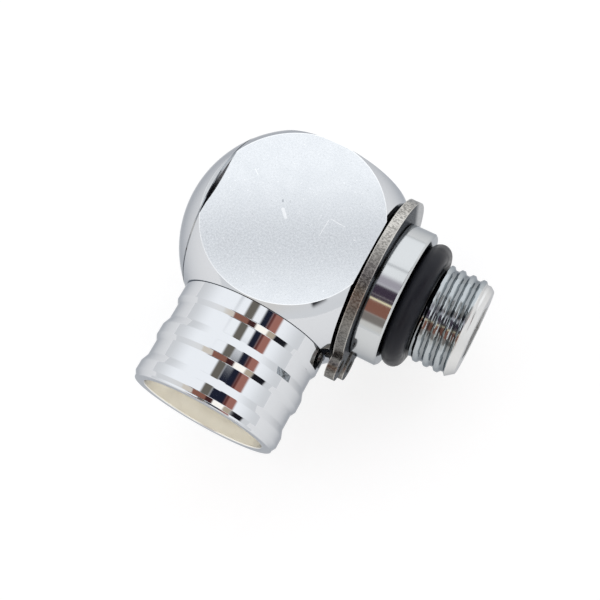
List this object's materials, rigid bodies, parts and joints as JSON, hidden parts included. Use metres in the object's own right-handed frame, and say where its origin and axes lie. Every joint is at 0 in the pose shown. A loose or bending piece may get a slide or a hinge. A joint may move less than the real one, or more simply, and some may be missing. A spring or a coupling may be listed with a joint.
{
  "type": "swivel hose adapter",
  "caption": "Right-angle swivel adapter: a chromed ball with milled flats, a ribbed female hose socket and a threaded male stud with O-ring that turns freely in the ball.",
  "frame": {"origin": "middle of the hose socket's mouth, where its seal recess begins", "axes": "-Y out of the hose socket's mouth, +X along the threaded stud towards its end, +Z out of the front flat; the part lies on its back flat side as in the picture"},
  "size_m": [0.0293, 0.0269, 0.0168],
  "materials": {
    "chrome_plate": "mirror chrome, flats satin",
    "plated_stud": "bright, thread duller",
    "spring_steel": "dull rolled steel with a sheared rim",
    "nitrile_rubber": "black, slightly glossy",
    "white_ptfe": "white, waxy"
  },
  "bodies": {
    "adapter_body": {"ball_body": "chrome_plate", "end_cap": "chrome_plate", "cap_o_ring": "nitrile_rubber", "socket_barrel": "chrome_plate", "barrel_o_ring": "nitrile_rubber", "outer_thrust_washer": "white_ptfe"},
    "stud_body": {"swivel_stud": "plated_stud", "outer_circlip": "spring_steel", "port_o_ring": "nitrile_rubber", "outer_spindle_o_ring": "nitrile_rubber", "inner_spindle_o_ring": "nitrile_rubber", "inner_thrust_washer": "white_ptfe", "inner_snap_ring": "spring_steel"}
  },
  "joints": [
    {"name": "stud_swivel", "type": "hinge", "parent": "adapter_body", "child": "stud_body", "pos_m": [0, 0.0182, 0], "axis": [1, 0, 0], "continuous": true}
  ]
}
